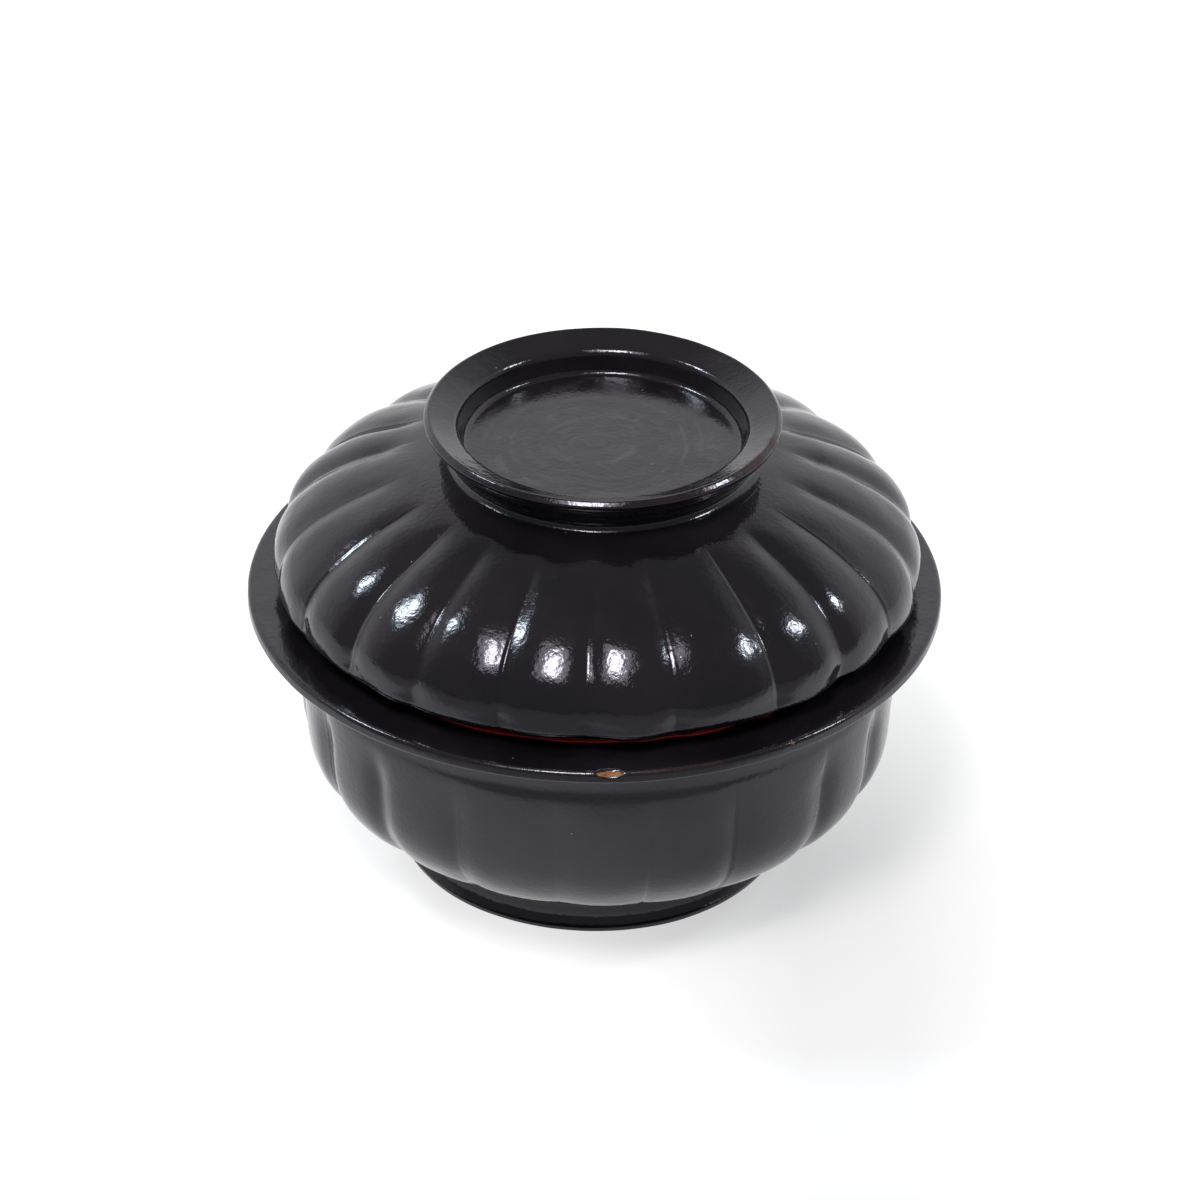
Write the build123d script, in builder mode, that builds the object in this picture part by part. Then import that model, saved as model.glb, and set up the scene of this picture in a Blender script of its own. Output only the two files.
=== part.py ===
from build123d import *
import math
import os

# Lidded rice bowl in lacquered wood, millimetres. +Z is up, and the origin is the middle of the
# foot's underside, on the table. Heights are above the table and radii are from the bowl's axis.

# Driving dimensions
rim_radius = 115.0  # flat rim, outside
rim_top = 97.7  # face that the lid rests on
rim_thickness = 3.8
mouth_radius = 90.5  # clear opening of the bowl, inside the red lacquer
lacquer = 0.8  # red lacquer on its ground
foot_radius = 66.2
foot_height = 13.0
foot_recess = 8.0
bowl_lobes = 20
bowl_floor = 19.5  # bare wood inside the bowl
lid_lobes = 22
dome_radius = 106.4  # crest of the lid's lobes at their widest
dome_rise = 41.6  # height of the dome's ellipse over its widest level
dome_level = 108.5  # level where the lid is widest
knob_seat = 144.8  # flat on the lid that the knob is glued to
knob_radius = 58.0
knob_top = 160.3
dish_floor = 148.5
seat_clearance = 0.5  # between the locating ring and the bowl's mouth, on the radius
ring_drop = 5.0  # how far the locating ring reaches into the mouth
ring_wall = 4.0

# Derived dimensions
rim_underside = rim_top - rim_thickness
wall_radius = mouth_radius + lacquer  # bare wood inside both walls
lid_bottom = rim_top + 0.5  # wooden edge of the lid, above its red edge
ring_radius = mouth_radius - seat_clearance
ring_top = rim_top + ring_drop

# Centre and half-axes of the quarter ellipse inside the bowl, from floor to wall
bowl_round = (50.0, 52.0)
bowl_round_width = wall_radius - bowl_round[0]
bowl_round_depth = bowl_round[1] - bowl_floor

# The same inside the lid, from wall to ceiling
lid_round = (46.0, dome_level)
lid_round_width = 49.2
lid_round_height = 30.7


def dome_height(radius):
    """Height of the dome's crest ellipse at a radius."""
    return dome_level + dome_rise * math.sqrt(1 - (radius / dome_radius) ** 2)


def dome_reach(height):
    """Radius of the dome's crest ellipse at a height."""
    return dome_radius * math.sqrt(1 - ((height - dome_level) / dome_rise) ** 2)


def around(radius, angle):
    """Point on a circle about the axis, with its angle in degrees."""
    return (radius * math.cos(math.radians(angle)), radius * math.sin(math.radians(angle)))


def lobed_outline(crest_radius, crease_depth, lobes, first_crease):
    """Closed outline of one arc for each lobe, from crease to crease."""
    pitch = 360 / lobes
    crease_radius = crest_radius - crease_depth
    for lobe in range(lobes):
        angle = first_crease + lobe * pitch
        ThreePointArc(
            around(crease_radius, angle),
            around(crest_radius, angle + pitch / 2),
            around(crease_radius, angle + pitch),
        )


def bowl_hollow(inset, top):
    """Half outline of the bowl's hollow up to a level, with its wall and floor moved inwards."""
    wall = wall_radius - inset
    floor = bowl_floor + inset
    Polyline((bowl_round[0], floor), (0, floor), (0, top), (wall, top), (wall, bowl_round[1]))
    EllipticalCenterArc(
        bowl_round, bowl_round_width - inset, bowl_round_depth - inset, start_angle=270, arc_size=90
    )


def lid_hollow(inset, bottom):
    """Half outline of the lid's hollow down to a level, with its wall and ceiling moved inwards."""
    wall = wall_radius - inset
    ceiling = lid_round[1] + lid_round_height - inset
    widest = lid_round[0] + lid_round_width - inset
    Polyline((lid_round[0], ceiling), (0, ceiling), (0, bottom), (wall, bottom))
    Polyline((wall, bottom), (wall, ring_top), (widest, lid_round[1]))
    EllipticalCenterArc(
        lid_round, lid_round_width - inset, lid_round_height - inset, start_angle=0, arc_size=90
    )


os.makedirs("parts", exist_ok=True)

# Foot: a turned disc with a flared ring below, hollowed underneath
foot_top_radius = 68.0
foot_waist = 63.4
foot_wall = 6.0
foot_band = 2.2  # upright band at the bottom of the flare
with BuildPart() as foot_ring:
    with BuildSketch(Plane.XZ):
        with BuildLine():
            Polyline((0, foot_recess), (0, foot_height), (foot_top_radius, foot_height))
            ThreePointArc(
                (foot_top_radius, foot_height),
                (foot_waist, foot_height / 2 + 1),
                (foot_radius, foot_band),
            )
            Polyline(
                (foot_radius, foot_band),
                (foot_radius, 0),
                (foot_radius - foot_wall, 0),
                (foot_radius - foot_wall - 1, foot_recess),
                (0, foot_recess),
            )
        make_face()
    revolve(axis=Axis.Z)
    resting_edges = foot_ring.edges().filter_by(GeomType.CIRCLE).group_by(Axis.Z)[0]
    fillet(resting_edges, 0.9)
foot_ring.part.label = "foot_ring"
export_step(foot_ring.part, "parts/foot_ring.step")

# Bowl: lobes from the foot up to a ledge under the rim, then a plain cove. Each section gives its
# height, its crest radius and how deep its creases are.
lobe_top = 77.0
bowl_sections = [
    (foot_height, foot_top_radius, 0.1),
    (18.0, 75.4, 0.3),
    (22.0, 81.6, 0.5),
    (28.0, 89.6, 0.8),
    (36.0, 95.6, 1.2),
    (46.0, 98.9, 1.5),
    (60.0, 99.8, 1.6),
    (lobe_top, 100.0, 1.5),
]
bowl_crease = -99.0  # a crest faces the front, half a lobe further on
cove_root = (99.0, lobe_top + 4)
cove_middle = (100.8, rim_underside - 4)
cove_end = (103.4, rim_underside)
with BuildPart() as bowl_shell:
    for height, crest, depth in bowl_sections:
        with BuildSketch(Plane.XY.offset(height)):
            with BuildLine():
                lobed_outline(crest, depth, bowl_lobes, bowl_crease)
            make_face()
    loft()
    with BuildSketch(Plane.XZ):
        with BuildLine():
            Polyline((0, lobe_top), (cove_root[0], lobe_top), cove_root)
            ThreePointArc(cove_root, cove_middle, cove_end)
            Polyline(cove_end, (0, rim_underside), (0, lobe_top))
        make_face()
    revolve(axis=Axis.Z)
    with BuildSketch(Plane.XZ):
        with BuildLine():
            bowl_hollow(0, rim_underside)
        make_face()
    revolve(axis=Axis.Z, mode=Mode.SUBTRACT)
bowl_shell.part.label = "bowl_shell"
export_step(bowl_shell.part, "parts/bowl_shell.step")

# Rim: a flat ring on top of the bowl's wall, with its outer edges rounded
with BuildPart() as rim_flange:
    with BuildSketch(Plane.XY.offset(rim_underside)):
        Circle(rim_radius)
        Circle(wall_radius, mode=Mode.SUBTRACT)
    extrude(amount=rim_thickness)
    lower_edge = rim_flange.edges().filter_by(GeomType.CIRCLE).group_by(Axis.Z)[0].sort_by(SortBy.RADIUS)[-1]
    fillet(lower_edge, 0.6)
    upper_edge = rim_flange.edges().filter_by(GeomType.CIRCLE).group_by(Axis.Z)[-1].sort_by(SortBy.RADIUS)[-1]
    fillet(upper_edge, 1.4)
rim_flange.part.label = "rim_flange"
export_step(rim_flange.part, "parts/rim_flange.step")

# Red lacquer on the bowl's floor and wall, and up over the rim's inner edge
with BuildPart() as bowl_lining:
    with BuildSketch(Plane.XZ):
        with BuildLine():
            bowl_hollow(0, rim_top)
        make_face()
    revolve(axis=Axis.Z)
    with BuildSketch(Plane.XZ):
        with BuildLine():
            bowl_hollow(lacquer, rim_top)
        make_face()
    revolve(axis=Axis.Z, mode=Mode.SUBTRACT)
bowl_lining.part.label = "bowl_lining"
export_step(bowl_lining.part, "parts/bowl_lining.step")

# Lid: a lobed dome, plain near the top and cut flat where the knob sits. The creases deepen from
# the collar to the widest level and almost close again at the bottom edge.
collar_height = 141.5
collar_radius = dome_reach(collar_height)
collar_root = 140.5  # the plain top reaches this far down inside the lobes
seat_radius = dome_reach(knob_seat)
collar_middle = (collar_radius + seat_radius) / 2
lid_sections = [
    (lid_bottom, 98.6, 0.5),
    (100.5, 101.2, 1.2),
    (104.0, 105.3, 2.0),
    (dome_level, dome_radius, 2.4),
    (115.0, dome_reach(115.0), 2.4),
    (122.0, dome_reach(122.0), 2.3),
    (129.0, dome_reach(129.0), 2.0),
    (134.5, dome_reach(134.5), 1.6),
    (138.5, dome_reach(138.5), 0.9),
    (collar_height, collar_radius, 0.1),
]
lid_crease = -90.0  # a crease faces the front
with BuildPart() as lid_shell:
    for height, crest, depth in lid_sections:
        with BuildSketch(Plane.XY.offset(height)):
            with BuildLine():
                lobed_outline(crest, depth, lid_lobes, lid_crease)
            make_face()
    loft()
    with BuildSketch(Plane.XZ):
        with BuildLine():
            Polyline((0, collar_root), (collar_radius, collar_root), (collar_radius, collar_height))
            ThreePointArc(
                (collar_radius, collar_height),
                (collar_middle, dome_height(collar_middle)),
                (seat_radius, knob_seat),
            )
            Polyline((seat_radius, knob_seat), (0, knob_seat), (0, collar_root))
        make_face()
    revolve(axis=Axis.Z)
    with BuildSketch(Plane.XZ):
        with BuildLine():
            lid_hollow(0, lid_bottom)
        make_face()
    revolve(axis=Axis.Z, mode=Mode.SUBTRACT)
lid_shell.part.label = "lid_shell"
export_step(lid_shell.part, "parts/lid_shell.step")

# Red lacquer inside the lid and under its edge, where it shows as a thin line on the rim
red_edge_radius = 98.2
with BuildPart() as lid_lining:
    with BuildSketch(Plane.XZ):
        with BuildLine():
            lid_hollow(0, rim_top)
        make_face()
    revolve(axis=Axis.Z)
    with BuildSketch(Plane.XY.offset(rim_top)):
        Circle(red_edge_radius)
    extrude(amount=lid_bottom - rim_top)
    with BuildSketch(Plane.XZ):
        with BuildLine():
            lid_hollow(lacquer, rim_top)
        make_face()
    revolve(axis=Axis.Z, mode=Mode.SUBTRACT)
lid_lining.part.label = "lid_lining"
export_step(lid_lining.part, "parts/lid_lining.step")

# Locating ring: glued inside the lid's wall, it drops into the bowl's mouth
with BuildPart() as lid_seat_ring:
    with BuildSketch(Plane.XZ):
        with BuildLine():
            Polyline(
                (ring_radius - ring_wall, rim_top - ring_drop),
                (ring_radius, rim_top - ring_drop),
                (ring_radius, rim_top),
                (mouth_radius, rim_top),
                (mouth_radius, ring_top),
                (ring_radius - ring_wall, ring_top),
                close=True,
            )
        make_face()
    revolve(axis=Axis.Z)
    fillet(lid_seat_ring.edges().filter_by(GeomType.CIRCLE).group_by(Axis.Z)[0], 1.0)
lid_seat_ring.part.label = "lid_seat_ring"
export_step(lid_seat_ring.part, "parts/lid_seat_ring.step")

# Knob: a turned ring that flares from its neck to a rounded lip, with a flat-bottomed dish inside
neck = (48.8, knob_seat + 3.6)
lip_underside = (knob_radius - 0.4, 157.0)
lip_edge = 1.4  # round on the lip's outer top edge
lip_inside = (47.4, 157.0)
dish_radius = 45.6
with BuildPart() as lid_knob:
    with BuildSketch(Plane.XZ):
        with BuildLine():
            Polyline((0, dish_floor), (0, knob_seat), (seat_radius, knob_seat))
            ThreePointArc((seat_radius, knob_seat), neck, lip_underside)
            Line(lip_underside, (knob_radius, knob_top - lip_edge))
            RadiusArc((knob_radius, knob_top - lip_edge), (knob_radius - lip_edge, knob_top), -lip_edge)
            Polyline((knob_radius - lip_edge, knob_top), lip_inside, (dish_radius, dish_floor))
            Line((dish_radius, dish_floor), (0, dish_floor))
        make_face()
    revolve(axis=Axis.Z)
lid_knob.part.label = "lid_knob"
export_step(lid_knob.part, "parts/lid_knob.step")
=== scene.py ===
import math

import bpy
import numpy as np
from mathutils import Matrix, Vector, noise


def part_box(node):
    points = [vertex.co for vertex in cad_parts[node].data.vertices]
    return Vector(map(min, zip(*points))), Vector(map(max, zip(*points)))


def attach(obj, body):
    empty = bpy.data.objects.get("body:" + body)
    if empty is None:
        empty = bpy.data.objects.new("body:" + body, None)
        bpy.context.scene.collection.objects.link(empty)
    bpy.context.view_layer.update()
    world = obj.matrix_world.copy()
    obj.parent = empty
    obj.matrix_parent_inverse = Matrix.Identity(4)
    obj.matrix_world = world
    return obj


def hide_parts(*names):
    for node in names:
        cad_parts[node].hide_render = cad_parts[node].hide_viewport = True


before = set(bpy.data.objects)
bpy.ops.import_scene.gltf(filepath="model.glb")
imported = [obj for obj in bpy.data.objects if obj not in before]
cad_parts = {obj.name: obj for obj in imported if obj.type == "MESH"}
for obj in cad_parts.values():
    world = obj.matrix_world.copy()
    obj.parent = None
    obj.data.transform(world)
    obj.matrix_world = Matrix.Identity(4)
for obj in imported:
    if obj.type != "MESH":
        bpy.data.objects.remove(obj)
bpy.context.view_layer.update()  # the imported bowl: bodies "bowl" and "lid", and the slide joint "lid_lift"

MM = 0.001  # outlines are written in millimetres and meshes are in metres
COAT = 0.8  # thickness of the red lacquer with its ground, in millimetres
BEHIND = 0.1  # the wood stops this far behind its red lacquer, so that the two faces never meet


def node_box(node):
    """Lowest and highest corner of a CAD node, in millimetres."""
    low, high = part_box(node)
    return low / MM, high / MM


foot_high = node_box("foot_ring")[1]
rim_low, rim_high = node_box("rim_flange")
lining_low, lining_high = node_box("bowl_lining")
dome_low, dome_high = node_box("lid_shell")
ring_low, ring_high = node_box("lid_seat_ring")
red_low, red_high = node_box("lid_lining")
knob_low, knob_high = node_box("lid_knob")

# ---------------------------------------------------------------- outlines


def straight(start, end, step):
    """Points from start towards end, without the end itself."""
    start, end = np.array(start, float), np.array(end, float)
    count = max(1, math.ceil(np.linalg.norm(end - start) / step))
    return [tuple(start + (end - start) * k / count) for k in range(count)]


def ellipse(centre, half_axes, first, last, count):
    """Points along part of an ellipse, from one angle to another in degrees, both ends included."""
    angles = np.radians(np.linspace(first, last, count))
    (middle_r, middle_z), (half_width, half_height) = centre, half_axes
    return [(middle_r + half_width * math.cos(a), middle_z + half_height * math.sin(a)) for a in angles]


def rounded(before, corner, after, radius, count=6):
    """Points of the round that replaces a corner between two neighbouring points."""
    corner = np.array(corner, float)
    back = np.array(before, float) - corner
    ahead = np.array(after, float) - corner
    back /= np.linalg.norm(back)
    ahead /= np.linalg.norm(ahead)
    half = math.acos(np.clip(back @ ahead, -1, 1)) / 2
    reach = radius / math.tan(half)
    middle = (back + ahead) / np.linalg.norm(back + ahead)
    centre = corner + middle * radius / math.sin(half)
    start, end = corner + back * reach - centre, corner + ahead * reach - centre
    first = math.atan2(start[1], start[0])
    turn = (math.atan2(end[1], end[0]) - first + math.pi) % (2 * math.pi) - math.pi
    angles = [first + turn * k / count for k in range(count + 1)]
    return [(centre[0] + radius * math.cos(a), centre[1] + radius * math.sin(a)) for a in angles]


def outline(corners, closed, step=1.5):
    """A path through (radius, height) points. A third number rounds a corner. Lists stay as they are."""
    flat = []
    for corner in corners:
        flat.extend([(p[0], p[1], 0) for p in corner] if isinstance(corner, list) else [(*corner, 0)[:3]])
    path = []
    for index, (r, z, radius) in enumerate(flat):
        if radius > 0:
            before, after = flat[index - 1], flat[(index + 1) % len(flat)]
            path.extend(rounded(before[:2], (r, z), after[:2], radius))
        else:
            path.append((r, z))
    points = []
    for index, point in enumerate(path):
        if index + 1 < len(path):
            points.extend(straight(point, path[index + 1], step))
        elif closed:
            points.extend(straight(point, path[0], step))
        else:
            points.append(point)
    return np.array(points)


def smooth_curve(points, count):
    """Evenly spaced points on a smooth curve that follows the given ones, with both ends kept."""
    points = np.array(points, float)
    for _ in range(3):
        middle = points[:-1] * 0.5 + points[1:] * 0.5
        inner = points[1:-1] * 0.75 + (points[:-2] + points[2:]) * 0.125
        merged = [points[0]]
        for k, m in enumerate(middle):
            merged.append(m)
            merged.append(inner[k] if k < len(inner) else points[-1])
        points = np.array(merged)
    along = np.concatenate([[0], np.cumsum(np.linalg.norm(np.diff(points, axis=0), axis=1))])
    wanted = np.linspace(0, along[-1], count)
    return list(zip(np.interp(wanted, along, points[:, 0]), np.interp(wanted, along, points[:, 1])))


# ---------------------------------------------------------------- lobes

LOBE_STEPS = 26  # columns of faces across one lobe
SOFTNESS = 0.08  # how wide the bottom of a crease is, as a share of half a lobe


def creases_from(first, widths, total):
    """Crease angles in degrees: the first, one after each given width, then even ones up to the total."""
    rest = (360 - sum(widths)) / (total - len(widths))
    angles = [first]
    for width in (widths + [rest] * (total - len(widths)))[:-1]:
        angles.append(angles[-1] + width)
    return angles


def lobe_columns(creases):
    """Angle, place across its lobe from -1 to 1 and lobe number of each column, closer near the creases."""
    angles, across, which = [], [], []
    for lobe, start in enumerate(creases):
        end = creases[(lobe + 1) % len(creases)] + (360 if lobe + 1 == len(creases) else 0)
        for k in range(LOBE_STEPS):
            t = k / LOBE_STEPS
            t = 0.5 * t + 0.25 * (1 - math.cos(math.pi * t))
            angles.append(start + (end - start) * t)
            across.append(2 * t - 1)
            which.append(lobe)
    return np.radians(angles), np.array(across), np.array(which)


def even_columns(count):
    """Angles of the columns of a piece with no lobes."""
    return (np.arange(count) * 2 * math.pi / count - math.pi / 2,)


def hollow_of(across, valley, share):
    """How far a lobe falls away, from 0 on its crest to 1 in a crease that the lacquer has softened.

    share is how much of the fall is in the valley of the crease, and the rest is the lobe's own round.
    """
    from_crease = 1 - np.abs(across)
    softened = (np.hypot(from_crease, SOFTNESS) - SOFTNESS) / (math.hypot(1, SOFTNESS) - SOFTNESS)
    return share * np.exp(-((from_crease / valley) ** 2)) + (1 - share) * (1 - softened) ** 2


def off_front(angles, front):
    """Degrees between each angle and the stated front."""
    return np.abs((np.degrees(angles) - front + 180) % 360 - 180)


def smoothstep(low, high, value):
    t = np.clip((np.asarray(value, float) - low) / (high - low), 0, 1)
    return t * t * (3 - 2 * t)


def round_noise(angles, size, level):
    """Noise that wanders with the angle and closes on itself. A larger size is busier."""
    circle = [Vector((math.cos(a) * size, math.sin(a) * size, level)) for a in angles]
    return np.array([noise.noise(place) for place in circle])


# ---------------------------------------------------------------- turned pieces


def path_normals(path, closed):
    """Outward unit normals along a path that runs clockwise round its solid."""
    if closed:
        along = np.roll(path, -1, 0) - np.roll(path, 1, 0)
    else:
        along = np.gradient(path, axis=0)
    along /= np.linalg.norm(along, axis=1)[:, None]
    return np.stack([-along[:, 1], along[:, 0]], 1)


def turned(name, path, closed, columns, fall=None, waves=(), lean=None, edit=None):
    """A solid of revolution from a path, with lobes, and with the unevenness of handwork.

    All of it is in millimetres. fall gives how far each point sinks towards a crease. waves are
    (size, height, strength), with a strength for each path point. edit may then move the points, and lean
    is how far each path point stands to the right of the axis.
    """
    angles = columns[0]
    normals = path_normals(path, closed)
    r = np.repeat(path[:, :1], len(angles), 1)
    z = np.repeat(path[:, 1:], len(angles), 1)
    if fall is not None:
        sink = fall(path, columns)
        r = r - normals[:, :1] * sink
        z = z - normals[:, 1:] * sink
    upward = np.repeat(normals[:, 1:], len(angles), 1)
    outward = np.stack([normals[:, :1] * np.cos(angles), normals[:, :1] * np.sin(angles), upward], 2)
    points = np.stack([r * np.cos(angles), r * np.sin(angles), z], 2)
    for size, height, strength in waves:
        drift = Vector((size, 3 * size, 7 * size))
        wave = np.array([noise.noise((Vector(p) + drift) / size) for p in points.reshape(-1, 3)])
        swell = wave.reshape(r.shape) * height * np.asarray(strength).reshape(-1, 1)
        points += outward * swell[..., None]
    if edit is not None:
        points = edit(points, path, angles)
    if lean is not None:
        points[..., 0] += lean.reshape(-1, 1)
    return skin(name, points, closed)


def skin(name, points, closed):
    """Mesh over a grid of points, rows by columns. An open path has one vertex at each end, on the axis."""
    rows, cols = points.shape[:2]
    verts, faces = [], []
    if closed:
        verts = points.reshape(-1, 3)
        last = rows
    else:
        verts = np.concatenate([points[0, :1], points[1:-1].reshape(-1, 3), points[-1, :1]])
        last = rows - 3

    def corner(i, j):
        return (i % rows) * cols + j % cols if closed else 1 + i * cols + j % cols

    for i in range(last):
        for j in range(cols):
            faces.append((corner(i, j), corner(i + 1, j), corner(i + 1, j + 1), corner(i, j + 1)))
    if not closed:
        top, bottom = 0, len(verts) - 1
        for j in range(cols):
            faces.append((top, corner(0, j), corner(0, j + 1)))
            faces.append((bottom, corner(rows - 3, j + 1), corner(rows - 3, j)))
    mesh = bpy.data.meshes.new(name)
    mesh.from_pydata((np.asarray(verts) * MM).tolist(), [], faces)
    mesh.polygons.foreach_set("use_smooth", [True] * len(mesh.polygons))
    mesh.update()
    piece = bpy.data.objects.new(name, mesh)
    bpy.context.scene.collection.objects.link(piece)
    return piece


def points_of(piece):
    """Angle in degrees from -180 to 180, radius and height in millimetres of each vertex."""
    flat = np.empty(len(piece.data.vertices) * 3)
    piece.data.vertices.foreach_get("co", flat)
    x, y, z = flat.reshape(-1, 3).T / MM
    return np.degrees(np.arctan2(y, x)), np.hypot(x, y), z


def paint(piece, name, values):
    """Stores one number for each vertex, for the piece's material to read."""
    layer = piece.data.attributes.new(name, "FLOAT", "POINT")
    layer.data.foreach_set("value", np.asarray(values, np.float32))


def between(angle, low, high, soft):
    """1 between two angles in degrees, fading out over soft degrees."""
    return smoothstep(low - soft, low, angle) * (1 - smoothstep(high, high + soft, angle))


# ---------------------------------------------------------------- materials


def tree_of(name):
    material = bpy.data.materials.new(name)
    material.use_nodes = True
    material.node_tree.nodes.clear()
    return material, material.node_tree


def add(tree, kind, inputs=None, **settings):
    """A node with its settings, its numbers set and its sockets linked."""
    made = tree.nodes.new(kind)
    for key, value in settings.items():
        setattr(made, key, value)
    for key, value in (inputs or {}).items():
        if isinstance(value, bpy.types.NodeSocket):
            tree.links.new(value, made.inputs[key])
        else:
            made.inputs[key].default_value = value
    return made


def maths(tree, operation, first, second=0.0, clamp=False):
    made = add(tree, "ShaderNodeMath", {0: first, 1: second}, operation=operation, use_clamp=clamp)
    return made.outputs[0]


def vectors(tree, operation, inputs):
    return add(tree, "ShaderNodeVectorMath", inputs, operation=operation).outputs[0]


def grain(tree, place, scale, detail=2.0, rough=0.5):
    """Noise whose features are about 1/scale metres across."""
    inputs = {"Vector": place, "Scale": scale, "Detail": detail, "Roughness": rough}
    return add(tree, "ShaderNodeTexNoise", inputs).outputs["Fac"]


def ramp(tree, value, low, high, out_low=0.0, out_high=1.0):
    inputs = {"Value": value, "From Min": low, "From Max": high, "To Min": out_low, "To Max": out_high}
    return add(tree, "ShaderNodeMapRange", inputs).outputs["Result"]


def mixed(tree, factor, first, second):
    made = add(tree, "ShaderNodeMix", data_type="RGBA")
    for socket, value in ((made.inputs[0], factor), (made.inputs[6], first), (made.inputs[7], second)):
        if isinstance(value, bpy.types.NodeSocket):
            tree.links.new(value, socket)
        else:
            socket.default_value = value
    return made.outputs[2]


def brushed(tree, place, scale):
    """Noise drawn out round the axis, as a brush or a lathe leaves it."""
    split = add(tree, "ShaderNodeSeparateXYZ", {0: place})
    x, y, z = split.outputs
    squared = maths(tree, "ADD", maths(tree, "MULTIPLY", x, x), maths(tree, "MULTIPLY", y, y))
    radius = maths(tree, "SQRT", squared)
    slow_x = maths(tree, "MULTIPLY", x, 0.05)
    slow_y = maths(tree, "MULTIPLY", y, 0.05)
    around = add(tree, "ShaderNodeCombineXYZ", {0: maths(tree, "ADD", radius, slow_x), 1: slow_y, 2: z})
    return grain(tree, around.outputs[0], scale, 3.0, 0.6)


def lacquer(name, deep, warm, tint, haze, gloss, brush, dimple):
    """Brushed lacquer over wood, with specks of dust.

    Painted on the mesh, "wear" is where it is rubbed thin, "chip" where the wood is bare and "rub" where
    years of use have left pale swirls. brush and dimple are the heights of its marks in metres.
    """
    material, tree = tree_of(name)
    place = add(tree, "ShaderNodeTexCoord").outputs["Object"]
    cloud = grain(tree, place, 28.0, 3.0, 0.55)
    mottle = grain(tree, place, 160.0, 3.0, 0.6)
    fine = grain(tree, place, 1300.0, 2.0)
    ripple = grain(tree, place, 90.0, 2.0)
    dimples = grain(tree, place, 620.0, 2.0)
    marks = brushed(tree, place, 650.0)
    colour = mixed(tree, ramp(tree, cloud, 0.4, 0.62), deep, warm)
    dust = add(tree, "ShaderNodeTexVoronoi", {"Vector": place, "Scale": 330.0}, feature="F1").outputs
    grey = ramp(tree, dust["Distance"], 0.10, 0.05)
    chance = add(tree, "ShaderNodeSeparateXYZ", {0: dust["Color"]}).outputs[0]
    speck = maths(tree, "MULTIPLY", grey, ramp(tree, chance, 0.965, 0.975))
    colour = mixed(tree, speck, colour, (0.16, 0.15, 0.15, 1))

    rub = add(tree, "ShaderNodeAttribute", attribute_name="rub").outputs["Fac"]
    swirl = add(tree, "ShaderNodeTexNoise", {"Vector": place, "Scale": 26.0, "Detail": 1.0})
    stray = vectors(tree, "SUBTRACT", {0: swirl.outputs["Color"], 1: (0.5, 0.5, 0.5)})
    stray = vectors(tree, "SCALE", {0: stray, "Scale": 0.016})
    stray = vectors(tree, "ADD", {0: place, 1: stray})
    rings = ramp(tree, brushed(tree, stray, 330.0), 0.46, 0.70)
    film = maths(tree, "MULTIPLY", rings, ramp(tree, mottle, 0.40, 0.62))
    colour = mixed(tree, maths(tree, "MULTIPLY", film, rub), colour, (0.032, 0.027, 0.026, 1))

    worn = add(tree, "ShaderNodeAttribute", attribute_name="wear").outputs["Fac"]
    ragged = maths(tree, "ADD", mottle, maths(tree, "MULTIPLY", fine, 0.35))
    worn = maths(tree, "MULTIPLY", worn, ramp(tree, ragged, 0.62, 0.72), clamp=True)
    colour = mixed(tree, worn, colour, (0.036, 0.010, 0.007, 1))
    bare = add(tree, "ShaderNodeAttribute", attribute_name="chip").outputs["Fac"]
    bare = ramp(tree, maths(tree, "ADD", bare, maths(tree, "MULTIPLY", fine, 1.1)), 1.02, 1.10)
    along_grain = add(tree, "ShaderNodeMapping", {"Vector": place, "Scale": (400.0, 1500.0, 2600.0)})
    streak = grain(tree, along_grain.outputs[0], 1.0)
    wood = mixed(tree, ramp(tree, streak, 0.35, 0.65), (0.30, 0.135, 0.058, 1), (0.09, 0.034, 0.016, 1))
    colour = mixed(tree, bare, colour, wood)

    rough = ramp(tree, mottle, 0.3, 0.7, gloss, gloss + haze)
    rough = maths(tree, "ADD", rough, maths(tree, "MULTIPLY", maths(tree, "MAXIMUM", worn, speck), 0.3))
    rough = maths(tree, "ADD", rough, maths(tree, "MULTIPLY", rub, 0.07))
    rough = maths(tree, "MAXIMUM", rough, maths(tree, "MULTIPLY", bare, 0.75))
    shine = maths(tree, "SUBTRACT", 0.45, maths(tree, "MULTIPLY", maths(tree, "MAXIMUM", bare, worn), 0.35))

    bump = add(tree, "ShaderNodeBump", {"Height": marks, "Distance": brush, "Strength": 1.0})
    for height, depth in ((ripple, dimple * 2.8), (dimples, dimple * 1.6), (fine, dimple * 0.35)):
        inputs = {"Height": height, "Distance": depth, "Strength": 1.0, "Normal": bump.outputs[0]}
        bump = add(tree, "ShaderNodeBump", inputs)
    shader = add(tree, "ShaderNodeBsdfPrincipled", {
        "Base Color": colour,
        "Roughness": rough,
        "Specular IOR Level": shine,
        "Specular Tint": tint,
        "Normal": bump.outputs[0],
    })
    add(tree, "ShaderNodeOutputMaterial", {"Surface": shader.outputs[0]})
    return material


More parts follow.
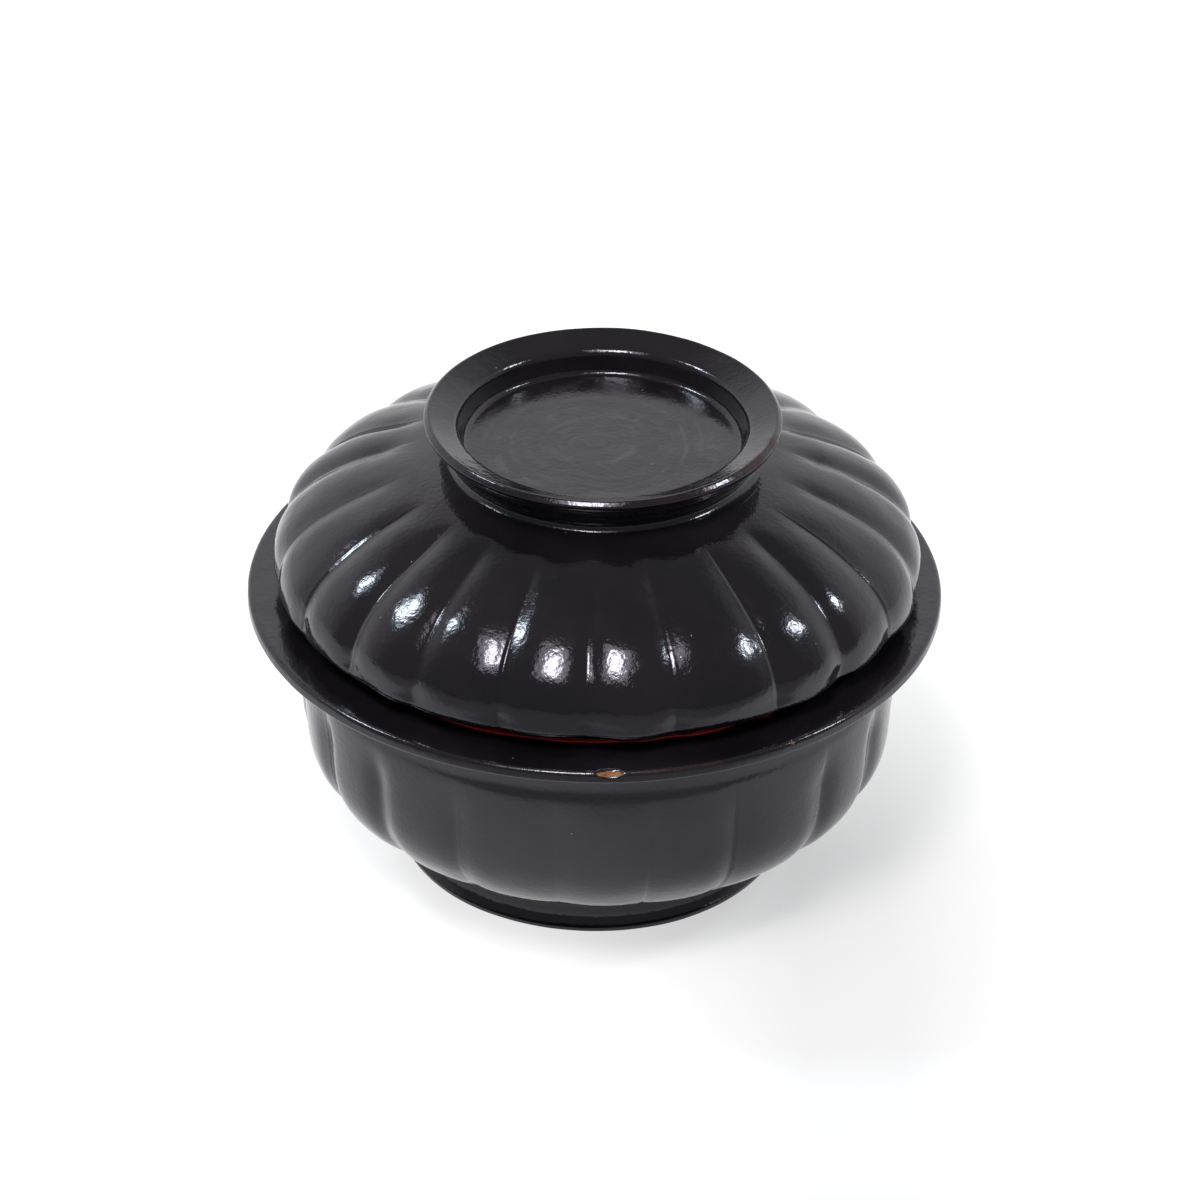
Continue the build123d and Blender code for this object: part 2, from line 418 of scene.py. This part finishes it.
def lit_floor(name, colour, glow, painted_shadow_strength):
    """Matt pale top of a light table. Its glow dips to the right of the bowl as a painted shadow, and stops
    in front of it.
    """
    material, tree = tree_of(name)
    place = add(tree, "ShaderNodeTexCoord").outputs["Object"]
    shade = tuple(c * 0.985 for c in colour[:3]) + (1,)
    tone = mixed(tree, grain(tree, place, 3.0), shade, colour)
    side, depth = add(tree, "ShaderNodeSeparateXYZ", {0: place}).outputs[:2]
    # Painted shadow: the glow is lowered in a patch just to the right of the bowl, so the bowl's shadow
    # there shows darker.
    painted_shadow_band = maths(tree, "MULTIPLY", ramp(tree, side, -0.02, 0.07), ramp(tree, side, 0.22, 0.10))
    painted_shadow = maths(tree, "MULTIPLY", painted_shadow_band, ramp(tree, depth, 0.12, -0.02, 0.0, painted_shadow_strength))
    glow = maths(tree, "MULTIPLY", maths(tree, "SUBTRACT", glow, painted_shadow), ramp(tree, depth, -0.29, -0.19))
    shader = add(tree, "ShaderNodeBsdfPrincipled", {
        "Base Color": tone,
        "Roughness": 0.8,
        "Specular IOR Level": 0.1,
        "Emission Color": (1, 1, 1, 1),
        "Emission Strength": glow,
    })
    add(tree, "ShaderNodeOutputMaterial", {"Surface": shader.outputs[0]})
    return material


black = lacquer(
    "black_lacquer",
    deep=(0.0040, 0.0034, 0.0048, 1), warm=(0.0072, 0.0058, 0.0072, 1), tint=(0.91, 0.89, 1.0, 1),
    haze=0.07, gloss=0.07, brush=0.000006, dimple=0.00005,
)
red = lacquer(
    "red_lacquer",
    deep=(0.40, 0.018, 0.020, 1), warm=(0.56, 0.034, 0.036, 1), tint=(1, 1, 1, 1),
    haze=0.10, gloss=0.16, brush=0.00003, dimple=0.00004,
)


def finish_piece(piece, material, body, node):
    """Gives a piece its material and its body, and hides the CAD node that it stands for."""
    piece.data.materials.append(material)
    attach(piece, body)
    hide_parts(node)


# ---------------------------------------------------------------- foot

foot_radius = 66.2  # at the bottom of its flare
recess = 8.0  # how far the hollow under the foot goes up
foot_path = outline([
    (0, recess),
    [(r, recess) for r in np.linspace(10, 52, 8)],
    (foot_high.x - 8.6, recess, 1.6),
    (foot_radius - 6.0, 0, 0.9),
    (foot_radius - 0.3, 0, 0.4),
    (foot_radius, 1.6, 0.3),
    smooth_curve([
        (65.8, 1.9), (64.7, 3.0), (63.9, 4.6), (63.5, 6.6), (63.6, 8.8), (64.5, 10.8), (66.2, 12.4),
    ], 16),
    (foot_high.x, foot_high.z, 0.3),
    [(r, foot_high.z) for r in np.linspace(52, 10, 8)],
    (0, foot_high.z),
], closed=False)[::-1]


def on_table(points, path, angles):
    """Nothing of the foot goes below the table."""
    points[..., 2] = np.maximum(points[..., 2], 0)
    return points


foot_strength = smoothstep(20, 50, foot_path[:, 0])
foot_waves = [(55, 0.35, foot_strength), (11, 0.10, foot_strength)]
foot = turned("foot", foot_path, False, even_columns(360), waves=foot_waves, edit=on_table)

# ---------------------------------------------------------------- bowl

bowl_creases = creases_from(-135.0, [18.5, 19.5, 17, 17, 20.5], 20)
bowl_columns = lobe_columns(bowl_creases)
bowl_profile = [
    (foot_high.x + 0.2, foot_high.z), (71.0, 14.9), (74.6, 17.4), (78.4, 19.9), (82.2, 22.5), (85.6, 25.0),
    (88.7, 27.7), (91.4, 30.5), (93.6, 33.4), (95.5, 36.4), (97.0, 39.6), (98.2, 43.2), (99.0, 47.2),
    (99.5, 52.0), (99.8, 58.0), (100.0, 64.0), (100.1, 70.0), (100.0, 74.2),
]
cove_profile = [
    (99.95, 75.6), (99.8, 76.9), (99.4, 78.0), (99.2, 79.5), (99.3, 82.0), (99.7, 85.4), (100.6, 88.7),
    (101.8, 91.6), (103.4, rim_low.z),
]
wall = lining_high.x  # wood inside the bowl's wall
wall_behind = wall + BEHIND
bowl_floor = lining_low.z
inside_centre = (50, 52)  # of the quarter ellipse that joins the bowl's floor to its wall


def bowl_round(level, reach, first, last, count):
    """Part of the round inside the bowl, with its floor and wall in the given places."""
    half_axes = (reach - inside_centre[0], inside_centre[1] - level)
    return ellipse(inside_centre, half_axes, first, last, count)


bowl_path = outline([
    (0, foot_high.z),
    [(r, foot_high.z) for r in np.linspace(12, 60, 6)],
    smooth_curve(bowl_profile, 80),
    smooth_curve(cove_profile, 22),
    (wall_behind, rim_low.z),
    [(wall_behind, z) for z in (80, 66, 52)],
    bowl_round(bowl_floor - BEHIND, wall_behind, 0, -90, 16),
    (0, bowl_floor - BEHIND),
], closed=False)[::-1]

below_centre = np.clip((inside_centre[1] - bowl_path[:, 1]) / (inside_centre[1] - bowl_floor), 0, 1)
hollow_reach = inside_centre[0] + (wall - inside_centre[0]) * np.sqrt(1 - below_centre**2)
bowl_outside = (bowl_path[:, 0] > hollow_reach + 1.0) | (bowl_path[:, 1] < bowl_floor - 0.5)


def bowl_fall(path, columns):
    """Creases that fade in above the foot, are deepest on the wall and stop at the ledge under the rim."""
    r, z = path[:, 0], path[:, 1]
    depth = 1.8 * smoothstep(72, 97, r) * (1 - smoothstep(60.0, 79.0, z)) * bowl_outside
    angles, across, which = columns
    uneven = 1 + 0.25 * np.sin(which * 2.4 + 0.7)
    uneven *= 0.40 + 0.60 * smoothstep(15, 50, off_front(angles, -90))
    return depth[:, None] * (hollow_of(across, 0.30, 0.6) * uneven)[None, :]


bowl_strength = smoothstep(62, 70, bowl_path[:, 0]) * bowl_outside
bowl_waves = [(60, 0.5, bowl_strength), (22, 0.22, bowl_strength), (9, 0.05, bowl_strength)]
bowl = turned("bowl_body", bowl_path, False, bowl_columns, bowl_fall, bowl_waves, lean=1.5 * bowl_strength)

# ---------------------------------------------------------------- rim

rim_radius = rim_high.x
rim_path = outline([
    (wall_behind, rim_low.z),
    (rim_radius - 0.05, rim_low.z, 0.7),
    (rim_radius - 0.5, rim_high.z - 0.1, 1.5),
    (wall_behind, rim_high.z - 0.05, 0.25),
], closed=True, step=1.2)[::-1]

# Angle and half length in degrees, width in millimetres, and how bare it is at most.
chips = [(-87.2, 2.3, 1.15, 1.0), (-56.7, 0.5, 0.6, 0.75)]
chip_depth = 0.45


def chipped(angle, radius, height):
    """How bare the rim is, from 0 to 1. Each chip is a lens along the upper edge."""
    off_edge = np.hypot(radius - rim_radius + 1.0, height - rim_high.z + 0.6)
    bare = np.zeros_like(off_edge)
    for middle, half_length, width, strength in chips:
        lens = 2.0 - 2.0 * ((angle - middle) / half_length) ** 2 - 2.0 * (off_edge / width) ** 2
        bare = np.maximum(bare, strength * np.clip(lens, 0, 1))
    return bare


def chip_shape(points, path, angles):
    """Takes the chips' wood out of the rim's upper edge."""
    degrees = (np.degrees(angles) + 180) % 360 - 180
    bite = chip_depth * chipped(degrees[None, :], path[:, :1], path[:, 1:])
    points[..., 2] -= bite
    points[..., 0] -= bite * np.cos(angles)[None, :]
    points[..., 1] -= bite * np.sin(angles)[None, :]
    return points


rim_strength = smoothstep(wall + 3, wall + 12, rim_path[:, 0])
rim_waves = [(70, 0.25, rim_strength), (12, 0.07, rim_strength), (5, 0.03, rim_strength)]
rim = turned("rim", rim_path, True, even_columns(1440), waves=rim_waves, edit=chip_shape)
angle, radius, height = points_of(rim)
on_edge = np.clip(1.3 - np.hypot(radius - rim_radius + 0.9, height - rim_high.z + 0.5) / 0.6, 0, 1)
paint(rim, "chip", chipped(angle, radius, height))
paint(rim, "wear", on_edge * (0.08 + 0.42 * between(angle, -86, -66, 5)))

# ---------------------------------------------------------------- linings and locating ring

mouth = wall - COAT
bowl_red_path = outline([
    (0, bowl_floor + COAT),
    [(r, bowl_floor + COAT) for r in np.linspace(6, 46, 12)],
    bowl_round(bowl_floor + COAT, mouth, -90, 0, 40),
    (mouth, rim_high.z, 0.35),
    (wall, rim_high.z, 0.3),
    bowl_round(bowl_floor, wall, 0, -90, 24),
    (0, bowl_floor),
], closed=False)
red_strength = smoothstep(8, 30, bowl_red_path[:, 0]) * (bowl_red_path[:, 1] < 85)
bowl_red = turned("bowl_red", bowl_red_path, False, even_columns(360), waves=[(40, 0.25, red_strength)])

dome_level = 108.5  # where the lid is widest
ceiling = red_high.z - 0.05
lid_wall = ring_high.x + COAT
wall_top = 102.7  # where the round inside the lid meets its straight wall
lid_reach = 95.2  # radius of the wood inside the lid at its widest level
shoulder = 46  # where the flat ceiling inside the lid starts to curve down


def lid_round(level, reach, first, last, count):
    """Part of the round inside the lid, with its ceiling and wall in the given places."""
    return ellipse((shoulder, dome_level), (reach - shoulder, level - dome_level), first, last, count)


lid_red_path = outline([
    (0, ceiling),
    lid_round(ceiling, lid_reach, 90, 0, 40),
    (lid_wall, wall_top),
    (lid_wall, dome_low.z),
    (red_high.x, dome_low.z, 0.15),
    (red_high.x, red_low.z, 0.15),
    (ring_high.x, red_low.z),
    (ring_high.x, wall_top),
    lid_round(ceiling - COAT, lid_reach - COAT, 0, 90, 40),
    (0, ceiling - COAT),
], closed=False)


def red_lip(points, path, angles):
    """Runs of red lacquer along the lid's bottom edge, a little further out in places."""
    lip = smoothstep(95.5, 97.5, path[:, 0]) * (path[:, 1] < dome_low.z + 0.1)
    reach = round_noise(angles, 9, 4) * 0.9 - 0.1
    points[..., 0] += lip[:, None] * (reach * np.cos(angles))[None, :]
    points[..., 1] += lip[:, None] * (reach * np.sin(angles))[None, :]
    return points


lid_red = turned("lid_red", lid_red_path, False, even_columns(480), edit=red_lip)

ring_wall = 4.5  # thickness of the ring
mouth_clearance = 0.5  # between the ring and the bowl's mouth
ring_path = outline([
    (-ring_low.x - ring_wall, ring_low.z, 0.9),
    (ring_high.x - mouth_clearance, ring_low.z, 0.9),
    (ring_high.x - mouth_clearance, rim_high.z),
    (ring_high.x, rim_high.z),
    (ring_high.x, ring_high.z),
    (ring_high.x - ring_wall, ring_high.z, 0.8),
], closed=True, step=1.2)[::-1]
lid_ring = turned("lid_ring", ring_path, True, even_columns(360))

# ---------------------------------------------------------------- lid

lobe_widths = [15, 18.5, 16.5, 16, 14.5, 15.5, 16, 15.5, 18.1, 15.4, 15, 15, 17.5, 15.5]  # those in view
lid_columns = lobe_columns(creases_from(-203.0, lobe_widths, 22))
dome_radius = 106.4
dome_rise = 41.6  # height of the dome's ellipse over its widest level
hem_profile = [
    (106.38, 107.6), (106.35, 106.2), (106.2, 105.0), (105.7, 104.0), (104.5, 103.0), (102.5, 101.6),
    (100.2, 99.8),
]
seat = dome_high.z
seat_angle = math.degrees(math.asin((seat - dome_level) / dome_rise))
lid_path = outline([
    (0, seat),
    [(r, seat) for r in (12, 24, 36, 46)],
    ellipse((0, dome_level), (dome_radius, dome_rise), seat_angle, 0, 96),
    smooth_curve(hem_profile, 24),
    (98.3, dome_low.z),
    (lid_wall + BEHIND, dome_low.z),
    (lid_wall + BEHIND, wall_top),
    lid_round(ceiling + BEHIND, lid_reach + BEHIND, 0, 90, 20),
    (0, ceiling + BEHIND),
], closed=False)
above_level = np.maximum(lid_path[:, 1] - dome_level, 0)
on_dome = np.hypot(lid_path[:, 0] / dome_radius, above_level / dome_rise) > 0.985
on_hem = (lid_path[:, 1] < dome_level) & (lid_path[:, 0] > 98.0)
lid_outside = on_dome | on_hem


def lid_fall(path, columns):
    """Creases that start below the collar, deepen outwards and almost close at the bottom edge."""
    r, z = path[:, 0], path[:, 1]
    below = smoothstep(dome_low.z + 2, dome_low.z + 11, z)
    depth = 2.4 * (r / dome_radius) ** 1.2 * smoothstep(59, 74, r) * (0.14 + 0.86 * below) * lid_outside
    angles, across, which = columns
    from_front = off_front(angles, -95)
    side = smoothstep(25, 60, from_front)
    shallow = 1 - 0.40 * np.exp(-(((from_front - 68) / 14) ** 2))
    uneven = (1 + 0.16 * np.sin(which * 1.9 + 2.2)) * (0.80 + 0.08 * side) * shallow
    return depth[:, None] * (hollow_of(across, 0.26 + 0.14 * side, 0.16 + 0.34 * side) * uneven)[None, :]


def lid_drips(points, path, angles):
    """The lacquer's wavy run along the lid's bottom edge."""
    low = (1 - smoothstep(dome_low.z + 0.5, dome_low.z + 5.0, path[:, 1])) * lid_outside
    drip = round_noise(angles, 7, 0) * 0.6 + round_noise(angles, 19, 2) * 0.35
    points[..., 2] += low[:, None] * (0.15 + drip)[None, :].clip(-0.1, 0.6)
    return points


lid_strength = lid_outside * smoothstep(54, 62, lid_path[:, 0])
lid_hem = lid_outside * (1 - smoothstep(103, 112, lid_path[:, 1]))
lid_waves = [(60, 0.6, lid_strength), (20, 0.40, lid_strength), (8, 0.11, lid_strength), (14, 0.9, lid_hem)]
lid = turned("lid_dome", lid_path, False, lid_columns, lid_fall, lid_waves, 0.7 * lid_outside, lid_drips)

# ---------------------------------------------------------------- knob

knob_radius = knob_high.x
dish = 148.5  # floor of the dish in the knob
neck_profile = [
    (57.6, 157.2), (56.3, 155.4), (54.0, 153.2), (51.7, 150.8), (50.2, 148.6), (49.6, 146.8), (50.2, 145.3),
    (52.0, 144.3), (54.4, 143.9),
]
knob_path = outline([
    (0, dish),
    [(r, dish) for r in np.linspace(3, 41, 26)],
    (45.4, dish, 2.2),
    (46.9, 156.4, 3.0),
    (knob_radius - 3.4, 159.4, 2.0),
    (knob_radius - 1.5, knob_high.z - 0.05, 0.9),
    (knob_radius + 0.05, 158.7, 0.8),
    smooth_curve(neck_profile, 34),
    (50, knob_low.z - 0.8),
    [(r, knob_low.z) for r in (46, 36, 24, 12)],
    (0, knob_low.z),
], closed=False)
knob_strength = smoothstep(10, 30, knob_path[:, 0])
knob_waves = [(45, 0.35, knob_strength), (13, 0.10, knob_strength), (5, 0.03, knob_strength)]
knob_lean = 2.1 * np.minimum(1, knob_path[:, 0] / 30)
knob = turned("knob", knob_path, False, even_columns(480), waves=knob_waves, lean=knob_lean)
angle, radius, height = points_of(knob)
paint(knob, "rub", (1 - smoothstep(38, 44, radius)) * (np.abs(height - dish) < 1))
lip = smoothstep(knob_radius - 1.6, knob_radius - 0.7, radius) * smoothstep(155.5, 157.0, height)
worn_left, worn_right = between(angle, -166, -128, 8), between(angle, -50, -15, 12)
paint(knob, "wear", lip * (0.12 + 0.85 * worn_left + 0.45 * worn_right))

finish_piece(foot, black, "bowl", "foot_ring")
finish_piece(bowl, black, "bowl", "bowl_shell")
finish_piece(rim, black, "bowl", "rim_flange")
finish_piece(bowl_red, red, "bowl", "bowl_lining")
finish_piece(lid, black, "lid", "lid_shell")
finish_piece(lid_red, red, "lid", "lid_lining")
finish_piece(lid_ring, red, "lid", "lid_seat_ring")
finish_piece(knob, black, "lid", "lid_knob")

# ---------------------------------------------------------------- studio

half = 9.0  # half the floor's width in metres
floor_corners = [(-half, -half, 0), (half, -half, 0), (half, half, 0), (-half, half, 0)]
floor_mesh = bpy.data.meshes.new("floor")
floor_mesh.from_pydata(floor_corners, [], [(0, 1, 2, 3)])
floor = bpy.data.objects.new("floor", floor_mesh)
bpy.context.scene.collection.objects.link(floor)
# The last number is how far the glow dips in the painted shadow to the right of the bowl.
floor.data.materials.append(lit_floor("floor_paper", (0.38, 0.38, 0.383, 1), 0.74, 0.30))


def toward(azimuth, elevation):
    """Unit vector to a point in the room. Azimuth 0 is +X and -90 is the front."""
    a, e = math.radians(azimuth), math.radians(elevation)
    return Vector((math.cos(a) * math.cos(e), math.sin(a) * math.cos(e), math.sin(e)))


def softbox(name, azimuth, elevation, distance, width, height, radiance, colour):
    """A rectangular light of that size in metres, facing the bowl, as bright all over as stated."""
    light = bpy.data.lights.new(name, "AREA")
    light.shape = "RECTANGLE"
    light.size = width
    light.size_y = height
    light.energy = radiance * width * height * math.pi
    light.color = colour
    lamp = bpy.data.objects.new(name, light)
    bpy.context.scene.collection.objects.link(lamp)
    aim = Vector((0, 0, 0.11))
    lamp.location = aim + toward(azimuth, elevation) * distance
    lamp.rotation_euler = (aim - lamp.location).to_track_quat("-Z", "Y").to_euler()


# Each softbox is the bright middle of a highlight, and its scrim is the dimmer edge round it.
softbox("left_softbox", 172, 50, 1.3, 0.15, 0.22, 36, (0.86, 0.97, 1.0))
softbox("left_scrim", 172, 50, 1.36, 0.36, 0.42, 5.0, (0.80, 0.95, 1.0))
softbox("right_softbox", -4, 42, 1.3, 0.16, 0.22, 34, (0.90, 0.98, 1.0))
softbox("right_scrim", -4, 42, 1.36, 0.34, 0.38, 3.4, (0.90, 0.98, 1.0))
softbox("front_softbox", -103, 60, 1.7, 0.34, 0.50, 30, (1.0, 0.98, 0.98))
softbox("front_scrim", -103, 60, 1.76, 0.90, 0.90, 3.6, (1.0, 0.95, 0.98))

world = bpy.data.worlds.new("studio")
bpy.context.scene.world = world
world.use_nodes = True
world.node_tree.nodes.clear()
room = world.node_tree
direction = add(room, "ShaderNodeTexCoord").outputs["Generated"]
depth, up = add(room, "ShaderNodeSeparateXYZ", {0: direction}).outputs[1:]
back = ramp(room, depth, -0.25, 0.35)
low = ramp(room, up, 0.85, 0.55)
sweep = maths(room, "MULTIPLY", back, low)  # the pale paper behind the bowl, 0 to 1
brightness = ramp(room, sweep, 0, 1, 0.30, 1.10)
sky = add(room, "ShaderNodeBackground", {"Color": (1, 1, 1, 1), "Strength": brightness})
add(room, "ShaderNodeOutputWorld", {"Surface": sky.outputs[0]})

# ---------------------------------------------------------------- camera

camera_data = bpy.data.cameras.new("camera")
camera_data.sensor_width = 36
camera_data.lens = 120
camera_data.clip_end = 50
camera = bpy.data.objects.new("camera", camera_data)
bpy.context.scene.collection.objects.link(camera)
target = Vector((1.9, 0, 88)) * MM
view = toward(-90, 32.42)
view_distance = 1.330
roll = 0.013  # the photo was taken a little off level
camera.location = target + view * view_distance
look = (-view).to_track_quat("-Z", "Y").to_matrix()
camera.rotation_euler = (look @ Matrix.Rotation(roll, 3, "Z")).to_euler()
bpy.context.scene.camera = camera
bpy.context.scene.view_settings.view_transform = "Standard"
